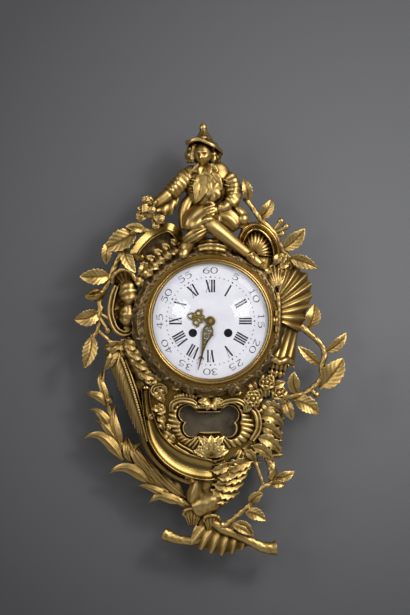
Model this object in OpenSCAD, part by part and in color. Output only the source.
// Cartel clock: a gilt bronze wall clock with a spring movement that strikes a bell.
// Sizes are in millimetres. The wall is the plane y = 0, the clock faces -Y and +Z is up.
// Every piece is drawn about the dial's axis, with depths counted out from the wall,
// and is then hung so that the hanging hole is at the origin.

/* [Case] */
// Depth of the drum from the wall to its front edge; the castings round it deepen with it
drum_depth = 96; // [92:1:104]
// Reach of the drum beyond the bezel; the castings round it grow with it
drum_lip = 5; // [4:0.5:7]
// Wall of the drum and of the waist box
case_wall = 3; // [2:0.5:4]
// Thickness of the back plate
back_t = 2.5; // [2:0.5:4]
// Width of the matted ring round the bezel, beyond the drum
surround_w = 12; // [10:1:16]
// Depth of the waist box under the drum, as a share of the drum's depth
waist_share = 0.646; // [0.62:0.002:0.68]
// Thickness of the front panel of the waist
panel_t = 4; // [3:0.5:6]
// Thickness of the window glass
window_t = 2; // [1.5:0.5:3]
// Radius of the service opening in the back plate
service_r = 62; // [58:1:64]
// Gap between the rear cover and its opening
cover_clear = 0.4; // [0.2:0.1:0.8]
// Radius of the hanging hole
hang_r = 6; // [4:0.5:8]
// Height of the hanging hole above the dial centre
hang_z = 80; // [76:1:84]
// Radius of the two lower steady holes
steady_r = 2.5; // [2:0.25:3.5]
// Distance between the steady holes
steady_spread = 100; // [90:2:110]
// Height of the steady holes, below the dial centre
steady_drop = 122; // [116:1:128]
// Radius of a back plate screw
screw_r = 1.5; // [1:0.25:2]

/* [Dial and bezel] */
// Distance from the bezel's outer edge to the edge of the enamel dial
dial_inset = 8.5; // [8.5:0.5:12]
// Thickness of the enamel dial
dial_t = 2; // [1.5:0.5:2.5]
// Thickness of the brass dial plate
dial_plate_t = 1.5; // [1:0.5:2]
// Outer radius of the bezel ring
bezel_r = 95; // [94:0.5:96]
// Height of the bezel ring
bezel_h = 10; // [9:0.5:12]
// Rise of the domed glass above its edge
glass_rise = 10; // [9:0.5:14]
// Thickness of the domed glass
glass_t = 2; // [1.5:0.25:2.5]
// Radius of a winding hole in the dial
key_hole_r = 6.4; // [5.5:0.1:7]
// Radius of the bezel hinge pin
hinge_pin_r = 1.2; // [1:0.1:1.5]
// Length of the bezel hinge
hinge_len = 30; // [24:1:36]

/* [Hands] */
// Length of the hour hand from the centre, as a share of the dial's radius
hour_share = 0.416; // [0.38:0.002:0.48]
// Length of the minute hand from the centre, as a share of the dial's radius
minute_share = 0.89; // [0.82:0.01:0.91]
// Thickness of a hand
hand_t = 1; // [0.8:0.1:1.2]
// Hour shown
show_hour = 9; // [0:1:11]
// Minute shown
show_minute = 32; // [0:1:59]

/* [Movement] */
// Radius of the movement plates
plate_r = 60; // [60:1:66]
// Thickness of a movement plate
plate_t = 2.5; // [2:0.25:3]
// Room behind the movement for the bell and the pendulum
rear_room = 42; // [41:0.5:44]
// Room for the motion work between the front plate and the dial plate
motion_gap = 9; // [9:0.5:11]
// Distance between the two winding arbors
arbor_spread = 53; // [53:0.5:54]
// Drop of the winding arbors below the centre
arbor_drop = 18; // [17.5:0.5:19]
// Radius of a winding arbor
arbor_r = 3; // [2.5:0.25:3.5]
// Side of a winding square
square_w = 4; // [3:0.25:4]
// Radius of a mainspring barrel
barrel_r = 22; // [20:0.5:22.5]
// Height of a mainspring barrel, as a share of the gap between the plates
barrel_share = 0.5; // [0.4:0.01:0.5]
// Radial clearance of a pivot in its hole
pivot_clear = 0.1; // [0.05:0.01:0.15]
// Radius of a plate pillar
pillar_r = 4; // [3:0.5:4.5]

/* [Pendulum and bell] */
// Length from the suspension to the middle of the bob
pendulum_len = 206; // [196:1:210]
// Radius of the bob
bob_r = 26; // [22:1:28]
// Thickness of the bob
bob_t = 11; // [8:1:13]
// Radius of the pendulum rod
rod_r = 1.5; // [1.2:0.1:2]
// Radius of the bell
bell_r = 38; // [34:1:38]
// Depth of the bell
bell_h = 15; // [12:1:16]

/* [Hidden] */

GILT = "#C99A3C";
BRASS = "#C8A24A";
STEEL = "#8C8F94";
ENAMEL = "#F2F1EC";
GLASS = "#B9C4CC80";

// The castings are drawn for a drum of radius 100 and depth 96, and grow with the drum's real size.
drum_r = bezel_r + drum_lip;
dial_r = bezel_r - dial_inset;
waist_depth = waist_share * drum_depth;
hour_len = hour_share * dial_r;
minute_len = minute_share * dial_r;
k = drum_r / 100;
kd = drum_depth / 96;
surround_r = drum_r + surround_w * k;
surround_back = drum_depth - 10 * kd;
surround_front = drum_depth + 1.5;
seat_r = bezel_r - 8;
seat_t = 4;
panel_front = waist_depth + panel_t;

// Depths of the movement: its front plate hangs behind the dial, its rear plate leaves room for the bell.
front_plate_d = drum_depth - motion_gap - plate_t;
rear_plate_d = rear_room;
between = rear_plate_d + plate_t;
plate_gap = front_plate_d - between;
barrel_h = barrel_share * plate_gap;
dial_front = drum_depth + dial_plate_t + dial_t;
hour_hand_d = dial_front + 1.1;
minute_hand_d = hour_hand_d + hand_t + 1;
bezel_back = drum_depth + dial_plate_t + 0.6;
glass_r = bezel_r - 6.6;
glass_d = bezel_back + 4.5;
hinge_x = bezel_r + 4;
hinge_d = bezel_back + 3.5;
knuckle_r = hinge_pin_r + 1.3;

// Trains. Teeth, modules and centres; every wheel is driven through its own pinion.
pressure = 27;
addendum = 0.7;
dedendum = 0.95;
backlash = 0.1;
great_teeth = 72;
great_mod = 0.7;
inter_pinion = 12;
inter_teeth = 64;
inter_mod = 0.55;
centre_pinion = 12;
centre_teeth = 80;
centre_mod = 0.45;
third_pinion = 8;
third_teeth = 75;
third_mod = 0.36;
escape_pinion = 8;
escape_teeth = 42;
escape_r = 9;
strike_teeth = 60;
strike_mod = 0.55;
pin_pinion = 10;
pin_teeth = 50;
pin_mod = 0.45;
fly_pinion = 10;
fly_room = 7.4;
cannon_teeth = 14;
minute_teeth = 42;
cannon_mod = 0.6;
minute_pinion = 12;
hour_teeth = 48;
hour_mod = 0.56;

function gear_dist(m, a, b) = m * (a + b) / 2;
function polar(r, a) = [r * cos(a), r * sin(a)];
function meet(a, ra, b, rb, side) =
  let (gap = norm(b - a), e = (b - a) / gap, along = (ra * ra - rb * rb + gap * gap) / (2 * gap))
  a + e * along + [-e[1], e[0]] * side * sqrt(ra * ra - along * along);

centre_at = [0, 0];
going_at = [arbor_spread / 2, -arbor_drop];
strike_at = [-arbor_spread / 2, -arbor_drop];
inter_at = meet(going_at, gear_dist(great_mod, great_teeth, inter_pinion),
  centre_at, gear_dist(inter_mod, inter_teeth, centre_pinion), -1);
escape_at = [0, 27];
third_at = meet(centre_at, gear_dist(centre_mod, centre_teeth, third_pinion),
  escape_at, gear_dist(third_mod, third_teeth, escape_pinion), 1);
anchor_at = [0, 40];
second_at = strike_at + polar(gear_dist(great_mod, great_teeth, inter_pinion), 100);
pin_at = second_at + polar(gear_dist(strike_mod, strike_teeth, pin_pinion), 75);
fly_at = pin_at + polar(gear_dist(pin_mod, pin_teeth, fly_pinion), 30);
minute_at = polar(gear_dist(cannon_mod, cannon_teeth, minute_teeth), 60);
hammer_at = [-46, 28];
bell_at = [14, 0];
blow_at = [-28.5, 11.5];
pillar_angles = [0, 65, 115, 180, 270];
pillar_ring = plate_r - 6;

// Depths inside the movement, counted from the rear plate's inner face.
great_d = between + 3;
great_t = 3;
barrel_d = great_d + great_t;
inter_wheel_d = barrel_d + barrel_h + 3;
centre_wheel_d = inter_wheel_d + 4;
third_wheel_d = between + 21;
escape_wheel_d = between + 11;
strike_wheel_d = inter_wheel_d + 1;
pin_wheel_d = between + 15;
wheel_t = 1.5;
motion_d = drum_depth - motion_gap;
shaft_r = 1.1;
pivot_r = 0.8;
hub_r = 2.2;
hour_pipe_r = 4;

// Depths behind the movement.
crutch_d = rear_plate_d - 3.5;
cock_d = rear_plate_d - 9;
pendulum_d = rear_plate_d - 14;
bell_mouth = rear_plate_d - 22;
bob_z = anchor_at[1] - pendulum_len;

waist_rounds = [[-52, -115, 38], [-55, -150, 32], [-15, -188, 44], [40, -150, 34], [42, -115, 38]];
screw_spots = [polar(drum_r - case_wall - 3.5, 38), polar(drum_r - case_wall - 3.5, 142),
  polar(drum_r - case_wall - 3.5, 195), polar(drum_r - case_wall - 3.5, 345),
  [-81.5 * k, -150 * k], [68 * k, -150 * k]];
screw_len = 10;
boss_r = 5;

function place(p) = [p[0], -p[2], p[1]];
function unit(v) = v / norm(v);
function blend(a, b, t) = a + (b - a) * t;
function knot(p, i) = p[max(0, min(len(p) - 1, i))];
function through(a, b, c, d, t) =
  b + (c - a) * t / 2 + (2 * a - 5 * b + 4 * c - d) * t * t / 2 + (3 * b - a - 3 * c + d) * t * t * t / 2;
function spline(p, per) = concat(
  [for (i = [0:len(p) - 2]) for (j = [0:per - 1])
    through(knot(p, i - 1), p[i], p[i + 1], knot(p, i + 2), j / per)],
  [p[len(p) - 1]]);

// Sections across a sweep: first number across the width, second out from the wall.
ROUND = [for (i = [0:7]) [cos(45 * i), sin(45 * i)]];
STEM = [for (i = [0:5]) [cos(60 * i), sin(60 * i)]];
BLADE = [[1, 0], [0, 0.9], [-1, 0], [0, -0.7]];
COVE = [[1, -1], [1, 1], [0.75, 1], [0, 0.2], [-0.75, 1], [-1, 1], [-1, -1]];

// Sweeps a section along rows of [x, z, depth, half width, half thickness].
module sweep(rows, section, per = 2) {
  path = spline(rows, per);
  n = len(path);
  m = len(section);
  mid = [for (r = path) place(r)];
  run = [for (i = [0:n - 1]) unit(mid[min(i + 1, n - 1)] - mid[max(i - 1, 0)])];
  side = [for (t = run) unit(cross(t, [0, 1, 0]))];
  lift = [for (i = [0:n - 1]) cross(run[i], side[i])];
  skin = [for (i = [0:n - 1]) for (s = section)
    mid[i] + side[i] * s[0] * path[i][3] + lift[i] * s[1] * path[i][4]];
  low = lift[0] * -0.3 * path[0][4];
  high = lift[n - 1] * -0.3 * path[n - 1][4];
  ends = [mid[0] + low, mid[n - 1] + high];
  walls = [for (i = [0:n - 2]) for (j = [0:m - 1])
    let (a = i * m + j, b = i * m + (j + 1) % m)
    each [[a, a + m, b + m], [a, b + m, b]]];
  caps = [for (j = [0:m - 1])
    let (c = (j + 1) % m, z = (n - 1) * m)
    each [[n * m, j, c], [n * m + 1, z + c, z + j]]];
  polyhedron(concat(skin, ends), concat(walls, caps));
}

// A round lump at [x, z, depth].
module ball(p, r) {
  translate(place(p)) sphere(r, $fn = 6);
}

// A tapered bar between two points.
module bar(a, b, ra, rb) {
  hull() {
    ball(a, ra);
    ball(b, rb);
  }
}

// A curled leaf; w is half its width, bow its rise from the wall, bend its sideways curve.
module leaf(from, tip, w, bow = 5, bend = 0) {
  flat = unit([tip[0] - from[0], tip[1] - from[1]]);
  across = [-flat[1], flat[0], 0];
  spine = [for (s = [0, 0.22, 0.5, 0.78, 1])
    concat(blend(from, tip, s) + [0, 0, bow * sin(180 * s)] + across * bend * sin(180 * s),
      [w * (s == 1 ? 0.08 : s == 0 ? 0.2 : sin(30 + 130 * s)), 1.6])];
  sweep(spine, BLADE, 1);
}

// Local x runs across, local y up, local z out from the wall, starting at depth d.
module out(d) {
  translate([0, -d, 0]) rotate([90, 0, 0]) children();
}

module rod(p, r, d0, d1, sides = 48) {
  out(d0) translate([p[0], p[1], 0]) cylinder(h = d1 - d0, r = r, $fn = sides);
}

module sheet(d0, d1) {
  out(d0) linear_extrude(d1 - d0) children();
}

module turned(p, profile) {
  out(0) translate([p[0], p[1], 0]) rotate_extrude($fn = 96) polygon(profile);
}

module waist_outline(inset) {
  hull() for (c = waist_rounds) translate([c[0] * k, c[1] * k]) circle(c[2] * k - inset, $fn = 48);
}

module window_opening() {
  for (c = [[-34, -140, 12.5], [29, -141, 13], [-28, -162, 12], [26, -162, 12]])
    translate([c[0], c[1]]) circle(c[2], $fn = 24);
  translate([-34, -166]) square([62, 28]);
}

// Teeth of an involute gear, a tooth standing at the angle phase.
function roll(r, base) = r <= base ? 0 : sqrt(r * r / (base * base) - 1) * 180 / PI - acos(base / r);
function gear_points(teeth, m, phase) =
  let (pitch = m * teeth / 2, base = pitch * cos(pressure), tip = pitch + addendum * m,
    root = pitch - dedendum * m, low = max(base, root),
    half = 90 / teeth - backlash * m * 90 / (PI * pitch) + roll(pitch, base),
    steps = teeth > 20 ? 1 : 2, rise = [for (s = [0:steps]) low + (tip - low) * s / steps])
  [for (i = [0:teeth - 1])
    let (a = phase + 360 * i / teeth)
    each concat(root < base ? [polar(root, a - half)] : [],
      [for (r = rise) polar(r, a - half + roll(r, base))],
      [for (s = [steps:-1:0]) polar(rise[s], a + half - roll(rise[s], base))],
      root < base ? [polar(root, a + half)] : [])];
function mesh_phase(a, za, phase, b, zb) =
  let (line = atan2(b[1] - a[1], b[0] - a[0]), part = za * (line - phase) / 360)
  line + 180 - (0.5 - part) * 360 / zb;
function ring_window(r0, r1, a0, a1) = concat(
  [for (i = [0:6]) polar(r1, blend(a0, a1, i / 6))], [for (i = [6:-1:0]) polar(r0, blend(a0, a1, i / 6))]);

module gear(p, teeth, m, phase, d0, d1) {
  sheet(d0, d1) translate(p) polygon(gear_points(teeth, m, phase));
}

// A crossed-out wheel: a toothed rim on four or more arms.
module wheel(p, teeth, m, phase, d0, arms = 4) {
  rim = m * teeth / 2 - dedendum * m - 1.6;
  sheet(d0, d0 + wheel_t) translate(p) difference() {
    polygon(gear_points(teeth, m, phase));
    for (i = [0:arms - 1])
      polygon(ring_window(hub_r + 1.2, rim, 360 * i / arms + 900 / (arms * rim),
        360 * (i + 1) / arms - 900 / (arms * rim)));
  }
}

// An arbor with a pivot in each plate.
module arbor(p, r = shaft_r) {
  rod(p, r, between + 0.4, front_plate_d - 0.4, 12);
  rod(p, pivot_r, rear_plate_d + 0.3, front_plate_d + plate_t - 0.3, 12);
}

// The case.
module plate_outline() {
  circle(drum_r, $fn = 128);
  waist_outline(0);
}

module back_plate() {
  color(GILT) difference() {
    sheet(0, back_t) plate_outline();
    rod([0, 0], service_r, -1, back_t + 1, 96);
    rod([0, hang_z], hang_r, -1, back_t + 1);
    for (s = [-1, 1]) rod([s * steady_spread / 2, -steady_drop], steady_r, -1, back_t + 1);
    for (p = screw_spots) {
      rod(p, screw_r + 0.1, -1, back_t + 1);
      rod(p, screw_r * 2 + 0.1, -1, back_t / 2);
    }
  }
}

module back_screws() {
  color(STEEL) for (p = screw_spots) {
    rod(p, screw_r, back_t / 2, screw_len);
    rod(p, screw_r * 2, 0, back_t / 2);
  }
}

module case_shell() {
  color(GILT) difference() {
    union() {
      difference() {
        union() {
          rod([0, 0], drum_r, back_t, drum_depth, 128);
          sheet(back_t, waist_depth) waist_outline(0);
        }
        rod([0, 0], drum_r - case_wall, back_t - 1, drum_depth - seat_t, 128);
        rod([0, 0], seat_r, back_t, drum_depth + 1, 128);
        sheet(back_t - 1, waist_depth + 1) waist_outline(case_wall);
      }
      for (p = screw_spots) rod(p, boss_r, back_t, back_t + screw_len + 2);
    }
    for (p = screw_spots) rod(p, screw_r + 0.1, 0, screw_len + 1);
  }
}

module dial_surround() {
  lip = bezel_r + 1.5;
  color("#A87F45") turned([0, 0], [[drum_r, surround_back], [surround_r, surround_back],
    [surround_r, surround_back + 3], [surround_r - 3, surround_back + 6], [drum_r + 4, surround_front],
    [lip, surround_front], [lip, drum_depth], [drum_r, drum_depth]]);
}

module waist_panel() {
  color(GILT) difference() {
    sheet(waist_depth, panel_front) difference() {
      waist_outline(0);
      scale([k, k]) window_opening();
    }
    rod([0, 0], drum_r, back_t, drum_depth, 128);
  }
}

module window_glass() {
  color(GLASS) sheet(waist_depth - window_t, waist_depth)
    translate([-50 * k, -178 * k]) square([96 * k, 52 * k]);
}

module rear_cover() {
  edge = service_r - cover_clear;
  color(BRASS) difference() {
    union() {
      rod([0, 0], edge, 0, 1.2, 96);
      rod([0, 0], edge, 0, back_t + 2, 96);
    }
    rod([0, 0], edge - 1.2, 1.2, back_t + 3, 96);
    for (i = [0:15]) sheet(-1, 2) rotate(i * 22.5) translate([30, -2]) square([20, 4]);
    rod([0, 0], 9, -1, 2);
  }
}

// Bodies that the castings seat on, and the room that the bezel needs.
module core_body() {
  sides = 40;
  grow = 1 / cos(180 / sides);
  rod([0, 0], drum_r * grow, 0, drum_depth, sides);
  out(0) scale([grow, grow, 1]) rotate_extrude($fn = sides)
    polygon([[0, surround_back], [surround_r, surround_back], [surround_r, surround_back + 3],
      [surround_r - 3, surround_back + 6], [drum_r + 4, surround_front], [0, surround_front]]);
  sheet(0, panel_front) waist_outline(0);
  rod([0, 0], bezel_r + 1.5, drum_depth, drum_depth + 60, sides);
  translate([hinge_x - 4, -drum_depth - 30, -hinge_len / 2 - 2]) cube([12, 32, hinge_len + 4]);
  translate([-400, 0, -400]) cube([800, 60, 800]);
}

// A casting is cut to seat on the core and on the castings fixed before it.
module seated(order) {
  difference() {
    rough(order);
    core_body();
    for (i = [0:1:order - 1]) rough(i);
  }
}

module rough(order) {
  scale([k, kd, k]) form(order);
}

module form(order) {
  if (order == 0) window_frame_form();
  if (order == 1) polished_scroll_form();
  if (order == 2) crest_left_form();
  if (order == 3) crest_right_form();
  if (order == 4) left_volute_form();
  if (order == 5) feather_wing_form();
  if (order == 6) right_shell_form();
  if (order == 7) tail_casting_form();
  if (order == 8) figure_form();
  if (order == 9) right_rocaille_form();
  if (order == 10) flower_cluster_form();
  if (order == 11) left_branch_form();
  if (order == 12) right_branch_form();
  if (order == 13) right_twig_form();
  if (order == 14) palm_frond_form();
  if (order == 15) tail_twig_form();
}

// Window frame: a scrolled cartouche round a four-lobed opening.
frame_line = [[-58, -126], [-46, -120], [-23, -119], [10, -118], [41, -117], [53, -135], [67, -156],
  [59, -176], [44, -188], [22, -194], [7, -202], [-16, -201], [-28, -192], [-43, -183], [-56, -168],
  [-64, -148], [-58, -126]];

module window_frame_form() {
  seat = panel_front / kd;
  difference() {
    union() {
      sheet(seat - 2, seat + 6) polygon(spline(frame_line, 2));
      sheet(seat + 5, seat + 10)
        translate([0, -156]) scale(0.9) translate([0, 156]) polygon(spline(frame_line, 2));
      for (s = [-1, 1]) {
        leaf([1, -121, 74], [1 + s * 24, -124, 78], 6, 5);
        leaf([1, -196, 74], [1 + s * 26, -184, 78], 8, 5);
        bar([s * 44 - 2, -124, 74], [s * 54 - 2, -132, 74], 6, 4);
        bar([s * 52, -172, 74], [s * 40, -184, 74], 5, 6);
      }
      bar([-62, -142, 72], [-58, -160, 74], 5, 5);
      bar([63, -148, 72], [58, -168, 74], 5, 5);
      bar([1, -198, 76], [1, -184, 80], 7, 4);
      bar([1, -119, 76], [1, -128, 79], 6, 4);
    }
    sheet(0, seat + 30) window_opening();
  }
}

// Polished hollow scroll that sweeps from the left side round under the waist.
module polished_scroll_form() {
  sweep([[-97, -102, 70, 5, 8], [-96, -126, 70, 5, 9], [-91, -151, 70, 6, 9], [-83, -176, 68, 8, 9],
    [-69, -197, 66, 11, 9], [-48, -213, 64, 14, 9], [-24, -222, 62, 16, 9], [-4, -226, 61, 14, 9],
    [8, -225, 62, 9, 8]], COVE, 3);
  bar([13, -224, 56], [13, -224, 72], 7, 7);
}

module crest_rim(rows, low, high) {
  sweep(rows, COVE, 2);
  edge = [for (r = spline(rows, 2)) [r[0], r[1]]];
  sheet(60, 68) polygon(concat(edge, [for (a = [low:2:high]) polar(104, a)]));
  for (i = [0:6]) {
    a = low + (high - low) * (i + 0.5) / 7;
    bar(concat(polar(110, a), [84]), concat(polar(127, a), [70]), 5, 4.5);
  }
}

module crest_left_form() {
  crest_rim([[-107, 92, 72, 4, 10], [-114, 102, 74, 5, 12], [-104, 117, 76, 5, 13], [-87, 132, 78, 5, 13],
    [-66, 141, 78, 5, 13], [-52, 134, 76, 5, 12], [-46, 122, 74, 4, 11], [-44, 112, 72, 4, 9]], 110, 140);
}

module crest_right_form() {
  crest_rim([[100, 96, 72, 4, 10], [99, 112, 75, 5, 12], [92, 127, 77, 5, 13], [80, 139, 78, 5, 13],
    [66, 143, 77, 5, 13], [53, 136, 75, 5, 12], [44, 120, 72, 4, 10]], 43, 70);
}

// Left side: an upright volute, the rolled leaves on it and the ridged band below.
module left_volute_form() {
  sweep([[-142, 53, 66, 4, 9], [-148, 36, 66, 5, 10], [-151, 16, 66, 5, 10], [-149, 2, 66, 5, 10],
    [-143, -12, 66, 5, 10], [-133, -19, 66, 5, 10], [-122, -18, 66, 4, 9], [-115, -11, 66, 4, 8],
    [-118, -2, 66, 3, 7]], COVE, 2);
  for (z = [68, 48, 28, 8]) bar([-135, z, 64], [-106, z - 4, 78], 8, 9);
  bar([-140, 62, 62], [-140, 4, 62], 6, 6);
  bar([-140, -40, 58], [-108, -34, 70], 9, 9);
  bar([-138, -60, 56], [-102, -54, 68], 10, 9);
  bar([-128, -20, 62], [-124, -36, 66], 9, 10);
  bar([-124, -36, 66], [-108, -58, 68], 12, 13);
  bar([-108, -58, 68], [-97, -84, 68], 13, 11);
}

module feather_wing_form() {
  sweep([[-138, -60, 60, 10, 6], [-127, -84, 60, 13, 8], [-119, -104, 60, 12, 8], [-111, -126, 60, 10, 7],
    [-104, -148, 60, 8, 6], [-97, -168, 61, 6, 5], [-91, -182, 62, 2, 3]], STEM, 1);
  for (i = [0:8])
    leaf([-130 + 4.6 * i, -72 - 12 * i, 60], [-148 + 6.2 * i, -80 - 12.6 * i, 54], 6, 3);
}

// Right side: a fluted shell that fans out beside the bezel.
module right_shell_form() {
  for (p = [[86, 66], [97, 74], [109, 78], [121, 77], [132, 73], [140, 64], [143, 53], [144, 42]])
    bar([94, 38, 86], [p[0], p[1], 70], 6, 6);
  for (i = [0:5]) bar([106, 26 - 9.4 * i, 82], [139, 25 - 9.4 * i, 66], 6, 5.5);
  for (i = [0:2]) bar([104, -32 - 10 * i, 78], [119 - 2 * i, -33 - 10 * i, 64], 6, 6);
  bar([116, 60, 66], [118, -30, 66], 9, 9);
}

// Tail: a tapering trunk with a roll, a fluted frill, a flared log and a horn.
module tail_casting_form() {
  sweep([[-6, -226, 46, 26, 18], [-7, -246, 46, 20, 17], [-8, -266, 44, 15, 15], [-8, -286, 42, 16, 14],
    [-4, -306, 40, 18, 13], [4, -320, 38, 16, 11], [8, -330, 36, 9, 8]], ROUND, 2);
  bar([-25, -297, 36], [-25, -297, 56], 11, 11);
  bar([0, -302, 44], [0, -302, 62], 9, 8);
  leaf([14, -216, 54], [74, -203, 60], 13, 6);
  leaf([8, -234, 54], [58, -221, 58], 12, 6);
  leaf([2, -250, 52], [49, -240, 56], 11, 6);
  leaf([-2, -264, 50], [42, -266, 54], 11, 6);
  leaf([-10, -250, 52], [-30, -262, 48], 8, 4);
  for (p = [[-31, -331], [-18, -336], [-4, -341], [9, -345], [21, -346], [33, -343], [45, -338],
      [58, -334]])
    bar([6, -314, 48], [p[0], p[1], 40], 6, 5);
  sweep([[-2, -298, 54, 6, 6], [17, -313, 56, 7, 7], [37, -321, 56, 7, 7], [58, -331, 54, 7, 7],
    [78, -338, 52, 8, 8], [99, -339, 50, 11, 11]], STEM, 1);
  sweep([[-8, -325, 46, 6, 6], [-26, -330, 46, 7, 7], [-46, -328, 44, 7, 7], [-62, -323, 42, 9, 9],
    [-71, -319, 41, 10, 10]], STEM, 1);
}

// Seated figure with crossed legs, a wide hat and a posy in one hand.
module figure_form() {
  hull() {
    ball([-14, 116, 72], 13);
    ball([14, 114, 72], 13);
    ball([0, 106, 84], 12);
  }
  hull() {
    ball([-22, 150, 74], 19);
    ball([26, 146, 74], 19);
    ball([0, 134, 82], 16);
  }
  sweep([[-2, 152, 73, 30, 19], [-5, 174, 72, 27, 17], [-5, 196, 72, 31, 18], [-5, 212, 71, 35, 17],
    [-7, 224, 70, 24, 14], [-9, 234, 70, 11, 10]], ROUND, 2);
  bar([-11, 255, 74], [-12, 243, 76], 15, 12);
  bar([-25, 248, 70], [5, 247, 70], 9, 9);
  hull() {
    ball([-33, 264, 76], 3);
    ball([-14, 268, 92], 3);
    ball([14, 253, 78], 3);
    ball([-10, 272, 58], 3);
    ball([12, 262, 64], 3);
  }
  bar([-10, 274, 72], [-12, 290, 72], 14, 5);
  bar([-12, 288, 72], [-12, 293, 72], 5, 5);
  sweep([[-34, 218, 72, 11, 11], [-50, 203, 78, 12, 12], [-66, 188, 82, 11, 11], [-80, 177, 86, 8, 8],
    [-90, 172, 88, 6, 6]], ROUND, 1);
  sweep([[26, 217, 72, 11, 11], [36, 200, 74, 12, 12], [40, 182, 80, 11, 11], [26, 168, 88, 9, 9],
    [10, 164, 93, 7, 7]], ROUND, 1);
  bar([8, 164, 93], [-8, 164, 92], 7, 5);
  bar([-88, 172, 88], [-100, 178, 90], 8, 8);
  bar([-92, 170, 88], [-84, 148, 88], 8, 9);
  bar([-92, 166, 88], [-106, 160, 86], 8, 6);
  sweep([[-14, 148, 84, 15, 14], [-24, 138, 98, 14, 14], [-30, 121, 96, 11, 11],
    [-35, 106, 92, 9, 9]], ROUND, 1);
  bar([-36, 106, 92], [-36, 103, 104], 8, 6);
  sweep([[4, 150, 88, 14, 14], [22, 138, 98, 14, 14], [38, 120, 98, 11, 11], [52, 103, 94, 9, 9],
    [62, 95, 92, 7, 7]], ROUND, 1);
  bar([62, 95, 92], [73, 84, 98], 8, 6);
  bar([42, 160, 78], [42, 146, 82], 8, 10);
}

module right_rocaille_form() {
  sheet(48, 58) polygon([[60, -136], [80, -138], [104, -146], [101, -166], [98, -186], [104, -206],
    [86, -212], [60, -206], [46, -190]]);
  for (i = [0:7]) bar([74, -144 - 8.6 * i, 64], [101, -147 - 8.4 * i, 54], 6, 5.5);
}

module flower(p, r) {
  for (i = [0:4]) bar(p, p + concat(polar(r * 0.62, 72 * i + 20), [2]), 3, r * 0.42);
}

module flower_cluster_form() {
  bar([62, -108, 66], [98, -104, 60], 13, 11);
  bar([86, -64, 78], [118, -70, 68], 8, 7);
  bar([92, -70, 68], [90, -100, 62], 9, 11);
  flower([65, -117, 80], 13);
  flower([84, -92, 76], 12);
  flower([103, -106, 70], 12);
}

module left_branch_form() {
  sweep([[-86, 136, 80, 4, 4], [-116, 134, 74, 4, 4], [-133, 106, 68, 4, 4], [-146, 76, 64, 4, 4],
    [-158, 50, 62, 3.5, 3.5], [-167, 32, 60, 3.5, 3.5], [-166, 14, 60, 3.5, 3.5], [-170, -14, 58, 3, 3],
    [-178, -24, 56, 2.5, 2.5]], STEM, 1);
  leaf([-120, 132, 72], [-156, 107, 76], 15, 6);
  leaf([-141, 88, 66], [-158, 116, 74], 8, 5);
  leaf([-131, 112, 68], [-113, 74, 82], 9, 5);
  leaf([-149, 70, 64], [-195, 68, 70], 10, 6);
  leaf([-166, 14, 60], [-204, 0, 66], 11, 6);
  leaf([-176, -22, 56], [-182, -68, 62], 11, 6);
  bar([-160, 46, 62], [-184, 39, 64], 2.5, 8);
  bar([-167, 10, 60], [-146, -4, 66], 3, 3);
  bar([-170, -14, 58], [-142, -36, 60], 3, 3);
}

module right_branch_form() {
  sweep([[50, 186, 74, 3, 3], [62, 172, 76, 3.5, 3.5], [74, 155, 80, 3.5, 3.5], [86, 142, 84, 3.5, 3.5],
    [98, 128, 84, 3.5, 3.5], [105, 112, 80, 3.5, 3.5], [115, 99, 76, 3, 3], [121, 86, 72, 3, 3]], STEM, 1);
  leaf([58, 178, 75], [49, 216, 82], 9, 5);
  leaf([72, 158, 79], [88, 182, 86], 9, 5);
  leaf([106, 110, 80], [138, 137, 84], 11, 6);
  leaf([116, 97, 76], [160, 80, 80], 11, 6);
  bar([92, 136, 84], [106, 150, 86], 2, 6);
  bar([92, 136, 84], [114, 142, 84], 2, 6);
  bar([98, 128, 84], [108, 131, 84], 2, 5);
  bar([121, 86, 72], [118, 74, 70], 3, 4);
}

module right_twig_form() {
  sweep([[134, -6, 68, 4, 4], [157, -26, 64, 3.5, 3.5], [167, -36, 62, 3.5, 3.5], [172, -51, 62, 3.5, 3.5],
    [168, -70, 62, 3.5, 3.5], [167, -86, 62, 3.5, 3.5], [157, -98, 62, 3.5, 3.5], [139, -110, 64, 3.5, 3.5],
    [100, -116, 64, 3.5, 3.5]], STEM, 1);
  leaf([172, -48, 62], [202, -18, 68], 9, 5);
  leaf([165, -92, 62], [192, -56, 68], 14, 6);
  leaf([168, -68, 62], [131, -37, 74], 9, 5);
  leaf([132, -111, 64], [127, -77, 74], 9, 5);
  leaf([134, -112, 64], [164, -134, 68], 10, 5);
  leaf([112, -116, 64], [124, -148, 70], 8, 5);
  bar([145, 10, 66], [150, -18, 64], 6, 8);
  bar([160, -96, 62], [168, -90, 62], 5, 4);
}

module palm_frond_form() {
  sweep([[-10, -282, 46, 6, 6], [-38, -273, 44, 6, 6], [-68, -254, 42, 5.5, 5.5], [-98, -226, 40, 5, 5],
    [-121, -201, 38, 4.5, 4.5], [-136, -178, 38, 4, 4], [-148, -148, 38, 3.5, 3.5], [-154, -118, 40, 3, 3],
    [-160, -96, 42, 2.5, 2.5], [-158, -68, 46, 1, 1]], STEM, 1);
  leaf([-44, -270, 44], [-92, -268, 46], 6, 5);
  leaf([-86, -238, 41], [-151, -224, 46], 8, 6);
  leaf([-126, -194, 38], [-189, -176, 46], 9, 6);
  leaf([-140, -168, 38], [-184, -132, 46], 9, 6);
  leaf([-149, -142, 38], [-190, -108, 46], 9, 6);
  leaf([-150, -140, 39], [-148, -108, 48], 6, 5);
  leaf([-134, -182, 38], [-143, -122, 48], 9, 6);
  leaf([-112, -212, 39], [-126, -170, 46], 7, 5);
  leaf([-84, -240, 41], [-101, -180, 46], 9, 5, 6);
  leaf([-98, -226, 40], [-104, -196, 46], 6, 4);
  leaf([-56, -262, 43], [-64, -231, 46], 7, 4);
}

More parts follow.
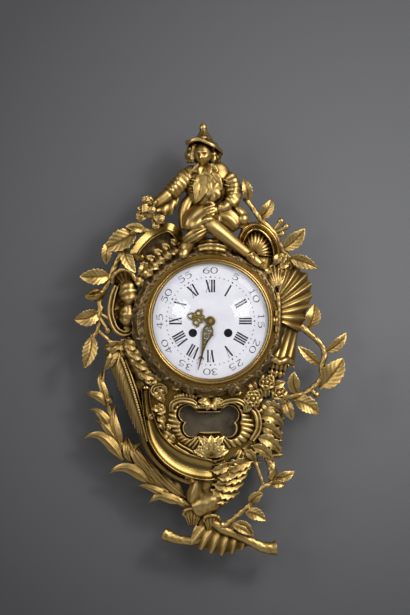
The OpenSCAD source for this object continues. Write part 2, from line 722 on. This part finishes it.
module tail_twig_form() {
  sweep([[14, -308, 62, 3.5, 3.5], [26, -305, 60, 3.5, 3.5], [49, -286, 58, 3, 3], [60, -277, 58, 3, 3],
    [70, -266, 58, 3, 3], [79, -250, 58, 3, 3], [90, -246, 57, 3, 3], [97, -236, 56, 3, 3],
    [97, -224, 56, 3, 3], [92, -212, 56, 3, 3], [84, -204, 56, 3, 3]], STEM, 1);
  leaf([97, -236, 56], [125, -226, 62], 7, 4);
  leaf([90, -246, 57], [112, -246, 62], 6, 4);
  leaf([59, -278, 58], [78, -262, 64], 6, 4);
  leaf([55, -281, 58], [83, -296, 64], 7, 4);
  leaf([30, -303, 60], [64, -324, 66], 6, 5, 12);
  bar([79, -250, 58], [72, -246, 60], 3, 4);
  bar([96, -222, 56], [102, -216, 58], 3, 4);
  bar([46, -288, 58], [40, -282, 60], 3, 4);
}

module window_frame() { color(GILT) seated(0); }
module polished_scroll() { color(GILT) seated(1); }
module crest_left() { color(GILT) seated(2); }
module crest_right() { color(GILT) seated(3); }
module left_volute() { color(GILT) seated(4); }
module feather_wing() { color(GILT) seated(5); }
module right_shell() { color(GILT) seated(6); }
module tail_casting() { color(GILT) seated(7); }
module figure() { color(GILT) seated(8); }
module right_rocaille() { color(GILT) seated(9); }
module flower_cluster() { color(GILT) seated(10); }
module left_branch() { color(GILT) seated(11); }
module right_branch() { color(GILT) seated(12); }
module right_twig() { color(GILT) seated(13); }
module palm_frond() { color(GILT) seated(14); }
module tail_twig() { color(GILT) seated(15); }

// Bezel, its hinge and the dial.
module upright(x, d, r, z0, z1) {
  translate([x, -d, z0]) cylinder(h = z1 - z0, r = r, $fn = 48);
}

module bezel_ring() {
  top = bezel_back + bezel_h;
  lip_rise = glass_rise * (1 - pow((bezel_r - 9) / glass_r, 2));
  lip_d = glass_d + glass_t + lip_rise + 0.15;
  color(GILT) difference() {
    union() {
      turned([0, 0], [[bezel_r - 7.5, bezel_back], [bezel_r, bezel_back], [bezel_r, bezel_back + 3],
        [bezel_r - 1.5, bezel_back + 6], [bezel_r - 5, top - 0.5], [bezel_r - 8, top],
        [bezel_r - 9, top - 1.5], [bezel_r - 9, lip_d], [glass_r + 0.1, glass_d + glass_t + 0.1],
        [glass_r + 0.1, glass_d], [bezel_r - 7.5, glass_d]]);
      upright(hinge_x, hinge_d, knuckle_r, -hinge_len / 4, hinge_len / 4);
      translate([bezel_r - 3, -hinge_d - 1.5, -hinge_len / 4])
        cube([hinge_x - bezel_r + 3, 3, hinge_len / 2]);
    }
    upright(hinge_x, hinge_d, hinge_pin_r + 0.06, -hinge_len, hinge_len);
  }
}

module hinge_base() {
  color(GILT) difference() {
    union() {
      for (s = [-1, 1]) {
        mid = s * (hinge_len / 4 + 0.3 + hinge_len / 8);
        upright(hinge_x, hinge_d, knuckle_r, mid - hinge_len / 8, mid + hinge_len / 8);
        translate([hinge_x - 2, -hinge_d, mid - hinge_len / 8])
          cube([4, hinge_d - surround_front, hinge_len / 4]);
      }
      translate([hinge_x - 2, -surround_front - 0.6, -hinge_len / 2]) cube([5, 0.6, hinge_len]);
    }
    upright(hinge_x, hinge_d, hinge_pin_r, -hinge_len, hinge_len);
  }
}

module hinge_pin() {
  color(STEEL) upright(hinge_x, hinge_d, hinge_pin_r, -hinge_len / 2 - 1.5, hinge_len / 2 + 1.5);
}

function dome(r, rise, base) = [for (i = [0:12]) [r * i / 12, base + rise * (1 - i * i / 144)]];

module dial_glass() {
  outer = dome(glass_r, glass_rise, glass_d + glass_t);
  inner = dome(glass_r, glass_rise, glass_d);
  color(GLASS) turned([0, 0], concat(inner, [for (i = [12:-1:0]) outer[i]]));
}

module dial_plate() {
  color(BRASS) {
    difference() {
      rod([0, 0], bezel_r + 0.5, drum_depth, drum_depth + dial_plate_t, 96);
      rod([0, 0], hour_pipe_r + 3, 0, drum_depth + 10);
      for (p = [going_at, strike_at]) rod(p, key_hole_r + 1.5, 0, drum_depth + 10);
    }
    for (a = [30, 150, 210, 330]) rod(polar(plate_r - 4, a), 3, motion_d, drum_depth);
  }
}

module dial() {
  color(ENAMEL) difference() {
    rod([0, 0], dial_r, drum_depth + dial_plate_t, dial_front, 128);
    rod([0, 0], hour_pipe_r + 1.5, 0, dial_front + 10);
    for (p = [going_at, strike_at]) rod(p, key_hole_r, 0, dial_front + 10);
  }
}

// Hands, drawn pointing to twelve: a boss, pierced scrolls and a leaf tip.
module hour_hand_shape() {
  difference() {
    union() {
      circle(6.5, $fn = 48);
      for (s = [-1, 1]) translate([s * 3.4, 13]) circle(4.2, $fn = 32);
      translate([0, 20.5]) circle(4, $fn = 32);
      translate([-1.2, 5]) square([2.4, hour_len - 14]);
      polygon([[-3.6, hour_len - 9], [0, hour_len - 13], [3.6, hour_len - 9], [0, hour_len]]);
    }
    for (s = [-1, 1]) translate([s * 3.6, 13]) circle(2.1, $fn = 24);
    for (s = [-1, 1]) translate([s * 2.2, 20.5]) circle(0.9, $fn = 24);
  }
}

module minute_hand_shape() {
  difference() {
    union() {
      circle(5.5, $fn = 48);
      for (s = [-1, 1]) translate([s * 2.6, 14]) circle(3.3, $fn = 32);
      for (s = [-1, 1]) translate([s * 2.2, 24]) circle(2.8, $fn = 32);
      translate([0, 33]) circle(3.2, $fn = 32);
      polygon([[-1.3, 4], [1.3, 4], [1.1, 50], [2.4, minute_len - 20], [0, minute_len],
        [-2.4, minute_len - 20], [-1.1, 50]]);
    }
    for (s = [-1, 1]) translate([s * 3, 14]) circle(1.5, $fn = 24);
    for (s = [-1, 1]) translate([s * 2.7, 24]) circle(1.2, $fn = 24);
  }
}

minute_angle = 6 * show_minute;
hour_angle = 30 * show_hour + show_minute / 2;
cannon_r = 2.4;

module hour_hand() {
  color(GILT) sheet(hour_hand_d, hour_hand_d + hand_t) rotate(-hour_angle) difference() {
    hour_hand_shape();
    circle(hour_pipe_r, $fn = 12);
  }
}

module minute_hand() {
  color(GILT) sheet(minute_hand_d, minute_hand_d + hand_t) rotate(-minute_angle) difference() {
    minute_hand_shape();
    circle(cannon_r, $fn = 12);
  }
}

module hand_nut() {
  color(BRASS) rod([0, 0], cannon_r + 0.8, minute_hand_d + hand_t, minute_hand_d + hand_t + 1.6);
}

// Movement plates and what stands on them.
train_spots = [inter_at, third_at, escape_at, second_at, pin_at, fly_at];

module plate_holes(d0, d1) {
  rod(centre_at, cannon_r - 0.8 + pivot_clear, d0, d1);
  for (p = train_spots) rod(p, pivot_r + pivot_clear, d0, d1, 24);
  for (p = [going_at, strike_at]) rod(p, arbor_r + pivot_clear, d0, d1);
  for (a = pillar_angles) rod(polar(pillar_ring, a), pillar_r - 1.5, d0, d1);
  rod(hammer_at, shaft_r + pivot_clear, d0, d1, 24);
}

module front_plate() {
  color(BRASS) difference() {
    rod([0, 0], plate_r, front_plate_d, motion_d, 96);
    plate_holes(front_plate_d - 1, motion_d + 1);
    rod(anchor_at, pivot_r + pivot_clear, front_plate_d - 1, motion_d + 1, 24);
    rod(minute_at, pivot_r + pivot_clear, front_plate_d - 1, motion_d + 1, 24);
  }
}

module rear_plate() {
  color(BRASS) difference() {
    rod([0, 0], plate_r, rear_plate_d, between, 96);
    plate_holes(rear_plate_d - 1, between + 1);
    rod(anchor_at, shaft_r + 1, rear_plate_d - 1, between + 1, 24);
  }
}

module pillars() {
  color(BRASS) for (a = pillar_angles) {
    rod(polar(pillar_ring, a), pillar_r, between, front_plate_d);
    rod(polar(pillar_ring, a), pillar_r - 1.5, rear_plate_d, motion_d + 2.5);
  }
}

module back_cock() {
  color(BRASS) difference() {
    union() {
      for (s = [-1, 1]) rod(anchor_at + [s * 13, 0], 3, cock_d, rear_plate_d);
      sheet(cock_d, cock_d + 3) translate(anchor_at - [17, 4]) square([34, 16]);
      sheet(pendulum_d - 4, cock_d) translate(anchor_at + [-5, 4]) square([10, 8]);
    }
    rod(anchor_at, pivot_r + pivot_clear, cock_d - 1, cock_d + 4, 24);
    sheet(pendulum_d - 5, cock_d - 1) translate(anchor_at + [-0.9, 2]) square([1.8, 8]);
  }
}

module bell() {
  crown = bell_mouth - bell_h;
  color(BRASS) difference() {
    turned(bell_at, [[0, crown], [8, crown], [bell_r * 0.6, crown + 2], [bell_r * 0.88, crown + 6],
      [bell_r, bell_mouth], [bell_r - 1.6, bell_mouth], [bell_r * 0.84, crown + 7.2],
      [bell_r * 0.56, crown + 3.6], [8, crown + 1.6], [0, crown + 1.6]]);
    rod(bell_at, 2.1, 0, bell_mouth);
  }
}

module bell_stand() {
  crown = bell_mouth - bell_h;
  color(STEEL) {
    rod(bell_at, 3, crown + 1.6, rear_plate_d);
    rod(bell_at, 2, crown - 2, crown + 1.6);
  }
}

// Going train.
module centre_wheel() {
  phase = mesh_phase(inter_at, inter_teeth, 0, centre_at, centre_pinion);
  color(BRASS) {
    wheel(centre_at, centre_teeth, centre_mod, 0, centre_wheel_d, 5);
    gear(centre_at, centre_pinion, inter_mod, phase, inter_wheel_d - 0.5, centre_wheel_d);
    rod(centre_at, cannon_r - 0.8, rear_plate_d + 0.3, motion_d + 0.2, 12);
    gear(centre_at, cannon_teeth, cannon_mod, 0, motion_d + 0.2, motion_d + 2.4);
    rod(centre_at, cannon_r, motion_d + 2.4, minute_hand_d + hand_t, 12);
  }
}

module intermediate_wheel() {
  phase = mesh_phase(going_at, great_teeth, 0, inter_at, inter_pinion);
  color(BRASS) {
    wheel(inter_at, inter_teeth, inter_mod, 0, inter_wheel_d, 5);
    gear(inter_at, inter_pinion, great_mod, phase, great_d - 0.5, great_d + great_t + 0.5);
    arbor(inter_at);
  }
}

module third_wheel() {
  phase = mesh_phase(centre_at, centre_teeth, 0, third_at, third_pinion);
  color(BRASS) {
    wheel(third_at, third_teeth, third_mod, 0, third_wheel_d);
    gear(third_at, third_pinion, centre_mod, phase, centre_wheel_d - 0.4, centre_wheel_d + wheel_t + 0.4);
    arbor(third_at);
  }
}

module escape_wheel() {
  phase = mesh_phase(third_at, third_teeth, 0, escape_at, escape_pinion);
  color(BRASS) {
    sheet(escape_wheel_d, escape_wheel_d + wheel_t) translate(escape_at) difference() {
      polygon([for (i = [0:escape_teeth - 1]) let (a = 360 * i / escape_teeth)
        each [polar(escape_r - 1.2, a - 3.4), polar(escape_r - 1.2, a), polar(escape_r, a + 1.2)]]);
      for (i = [0:3]) polygon(ring_window(3.2, escape_r - 2.4, 90 * i + 12, 90 * i + 78));
    }
    gear(escape_at, escape_pinion, third_mod, phase, third_wheel_d - 0.4, third_wheel_d + wheel_t + 0.4);
    arbor(escape_at, 0.95);
  }
}

// Barrels: a toothed drum that holds the mainspring, free on its winding arbor.
module ngon(r, n) {
  polygon([for (i = [0:n - 1]) polar(r / cos(180 / n), 360 * i / n)]);
}

module barrel(p, phase) {
  sheet(great_d, barrel_d) translate(p) difference() {
    polygon(gear_points(great_teeth, great_mod, phase));
    ngon(arbor_r + pivot_clear, 24);
  }
  sheet(barrel_d, barrel_d + barrel_h - 1.5) translate(p) difference() {
    ngon(barrel_r, 36);
    ngon(barrel_r - 1.2, 36);
  }
  sheet(barrel_d + barrel_h - 1.5, barrel_d + barrel_h) translate(p) difference() {
    ngon(barrel_r, 36);
    ngon(arbor_r + pivot_clear, 24);
    for (a = [0, 120, 240]) translate(polar(barrel_r * 0.62, a)) ngon(2.5, 12);
  }
}

module mainspring(p) {
  turns = 8;
  steps = turns * 12;
  low = arbor_r + 1;
  high = barrel_r - 2.2;
  sheet(barrel_d + 1, barrel_d + barrel_h - 2.5) translate(p) polygon(concat(
    [for (i = [0:steps]) polar(blend(low, high, i / steps) + 0.35, 30 * i)],
    [for (i = [steps:-1:0]) polar(blend(low, high, i / steps) - 0.35, 30 * i)]));
}

module winding_arbor(p) {
  tip = drum_depth - 1;
  rod(p, arbor_r, rear_plate_d + 0.3, motion_d + 0.4);
  sheet(motion_d + 0.4, motion_d + 2.4) translate(p)
    polygon([for (i = [0:17]) each [polar(7.5, 20 * i), polar(5.8, 20 * i + 1)]]);
  sheet(motion_d + 2.4, tip) translate(p - [square_w, square_w] / 2) square(square_w);
}

module going_barrel() { color(BRASS) barrel(going_at, 0); }
module strike_barrel() { color(BRASS) barrel(strike_at, 0); }
module going_mainspring() { color(STEEL) mainspring(going_at); }
module strike_mainspring() { color(STEEL) mainspring(strike_at); }
module going_arbor() { color(STEEL) winding_arbor(going_at); }
module strike_arbor() { color(STEEL) winding_arbor(strike_at); }

// Strike train.
module strike_wheel() {
  phase = mesh_phase(strike_at, great_teeth, 0, second_at, inter_pinion);
  color(BRASS) {
    wheel(second_at, strike_teeth, strike_mod, 0, strike_wheel_d, 5);
    gear(second_at, inter_pinion, great_mod, phase, great_d - 0.5, great_d + great_t + 0.5);
    arbor(second_at);
    rod(second_at, pivot_r, crutch_d - 1, rear_plate_d + 1, 12);
  }
}

// Count wheel: twelve notches, each one blow further on than the last.
blows = 78;
function struck(h) = h * (h + 1) / 2;

module count_wheel() {
  color(BRASS) sheet(crutch_d, crutch_d + 1.5) translate(second_at) difference() {
    ngon(15, 48);
    for (h = [1:12]) rotate(360 * struck(h) / blows) translate([12.5, -0.9]) square([4, 1.8]);
    for (i = [0:3]) polygon(ring_window(4, 10.5, 90 * i + 14, 90 * i + 76));
    circle(pivot_r, $fn = 12);
  }
}

module pin_wheel() {
  phase = mesh_phase(second_at, strike_teeth, 0, pin_at, pin_pinion);
  color(BRASS) {
    wheel(pin_at, pin_teeth, pin_mod, 0, pin_wheel_d);
    gear(pin_at, pin_pinion, strike_mod, phase, strike_wheel_d - 0.4, strike_wheel_d + wheel_t + 0.4);
    arbor(pin_at);
    for (i = [0:12]) rod(pin_at + polar(9.2, 360 * i / 13), 0.4, pin_wheel_d - 3, pin_wheel_d + 1, 6);
  }
}

module fly() {
  phase = mesh_phase(pin_at, pin_teeth, 0, fly_at, fly_pinion);
  color(BRASS) {
    gear(fly_at, fly_pinion, pin_mod, phase, pin_wheel_d - 0.4, pin_wheel_d + wheel_t + 0.4);
    sheet(third_wheel_d - 2, front_plate_d - fly_room) translate(fly_at) square([11, 0.8], center = true);
    arbor(fly_at);
  }
}

// Motion work.
module minute_wheel() {
  to_minute = mesh_phase(centre_at, cannon_teeth, 0, minute_at, minute_teeth);
  color(BRASS) {
    gear(minute_at, minute_teeth, cannon_mod, to_minute, motion_d + 0.5, motion_d + 2.1);
    gear(minute_at, minute_pinion, hour_mod, 0, motion_d + 2.1, motion_d + 5.2);
    rod(minute_at, pivot_r, front_plate_d + 0.3, motion_d + 6.5, 12);
  }
}

module hour_wheel() {
  to_hour = mesh_phase(minute_at, minute_pinion, 0, centre_at, hour_teeth);
  color(BRASS) {
    sheet(motion_d + 3.2, motion_d + 4.8) difference() {
      polygon(gear_points(hour_teeth, hour_mod, to_hour));
      ngon(cannon_r + pivot_clear, 12);
    }
    sheet(motion_d + 4.8, hour_hand_d + hand_t) rotate(-hour_angle) difference() {
      circle(hour_pipe_r, $fn = 12);
      ngon(cannon_r + pivot_clear, 12);
    }
  }
}

// Escapement and pendulum.
module anchor() {
  tip = escape_r + 1;
  color(STEEL) {
    sheet(escape_wheel_d - 0.3, escape_wheel_d + wheel_t + 0.3) for (s = [-1, 1])
      polygon([anchor_at + [-s * 2, -1.5], anchor_at + [-s * 2, 2], anchor_at + [s * 8.5, -1],
        escape_at + [s * (tip * sin(40) + 2.4), tip * cos(40) + 0.8],
        escape_at + [s * tip * sin(40), tip * cos(40)], anchor_at + [s * 5.4, -3]]);
    rod(anchor_at, shaft_r, cock_d + 3.4, front_plate_d - 0.4, 12);
    rod(anchor_at, pivot_r, cock_d + 0.3, motion_d - 0.3, 12);
    sheet(crutch_d, crutch_d + 1.5) translate(anchor_at - [1.2, 42]) square([2.4, 44]);
    for (s = [-1, 1])
      sheet(pendulum_d - 3, crutch_d + 1.5)
        translate(anchor_at + [s * (rod_r + 1) - 0.6, -44]) square([1.2, 3]);
    sheet(crutch_d, crutch_d + 1.5) translate(anchor_at - [rod_r + 1.6, 44]) square([2 * rod_r + 3.2, 3]);
  }
}

module suspension_spring() {
  color(STEEL) sheet(pendulum_d - 3, pendulum_d + 3) translate(anchor_at - [0.15, 8]) square([0.3, 16]);
}

module along_rod(r, z0, z1) {
  translate([0, -pendulum_d, z0]) cylinder(h = z1 - z0, r = r, $fn = 32);
}

module pendulum_rod() {
  color(STEEL) {
    translate([-3, -pendulum_d - 3, anchor_at[1] - 14]) cube([6, 6, 6]);
    along_rod(rod_r, bob_z - bob_r - 8, anchor_at[1] - 14);
  }
}

module pendulum_bob() {
  color(BRASS) difference() {
    turned([0, bob_z], [[0, pendulum_d - bob_t / 2], [bob_r * 0.6, pendulum_d - bob_t * 0.4],
      [bob_r, pendulum_d - 1], [bob_r, pendulum_d + 1], [bob_r * 0.6, pendulum_d + bob_t * 0.4],
      [0, pendulum_d + bob_t / 2]]);
    along_rod(rod_r, bob_z - bob_r - 8, bob_z + bob_r + 8);
  }
}

module rating_nut() {
  color(BRASS) difference() {
    along_rod(4, bob_z - bob_r - 4, bob_z - bob_r);
    along_rod(rod_r, bob_z - bob_r - 9, bob_z);
  }
}

module hammer() {
  arm = blow_at - hammer_at;
  color(STEEL) {
    rod(hammer_at, shaft_r, rear_plate_d - 11, motion_d - 0.3, 12);
    sheet(rear_plate_d - 11, rear_plate_d - 8.5) translate(hammer_at) rotate(atan2(arm[1], arm[0]))
      translate([-3, -1.5]) square([norm(arm) + 3, 3]);
    rod(blow_at, 4, bell_mouth - 5, rear_plate_d - 8.5);
    sheet(pin_wheel_d - 3, pin_wheel_d - 1.5)
      translate(hammer_at) rotate(6) translate([0, -1]) square([6, 2]);
  }
}

module hung() {
  translate([0, 0, -hang_z]) children();
}

hung() back_plate();
hung() case_shell();
hung() dial_surround();
hung() waist_panel();
hung() window_frame();
hung() window_glass();
hung() crest_left();
hung() crest_right();
hung() figure();
hung() left_branch();
hung() right_branch();
hung() left_volute();
hung() feather_wing();
hung() polished_scroll();
hung() palm_frond();
hung() right_shell();
hung() right_twig();
hung() flower_cluster();
hung() right_rocaille();
hung() tail_casting();
hung() tail_twig();
hung() back_screws();
hung() rear_cover();
hung() hinge_base();
hung() hinge_pin();
hung() bezel_ring();
hung() dial_glass();
hung() dial_plate();
hung() dial();
hung() front_plate();
hung() rear_plate();
hung() pillars();
hung() back_cock();
hung() bell();
hung() bell_stand();
hung() centre_wheel();
hung() minute_hand();
hung() hand_nut();
hung() hour_wheel();
hung() hour_hand();
hung() minute_wheel();
hung() intermediate_wheel();
hung() going_barrel();
hung() going_mainspring();
hung() third_wheel();
hung() escape_wheel();
hung() strike_barrel();
hung() strike_mainspring();
hung() strike_wheel();
hung() count_wheel();
hung() pin_wheel();
hung() fly();
hung() going_arbor();
hung() strike_arbor();
hung() suspension_spring();
hung() pendulum_rod();
hung() pendulum_bob();
hung() rating_nut();
hung() anchor();
hung() hammer();
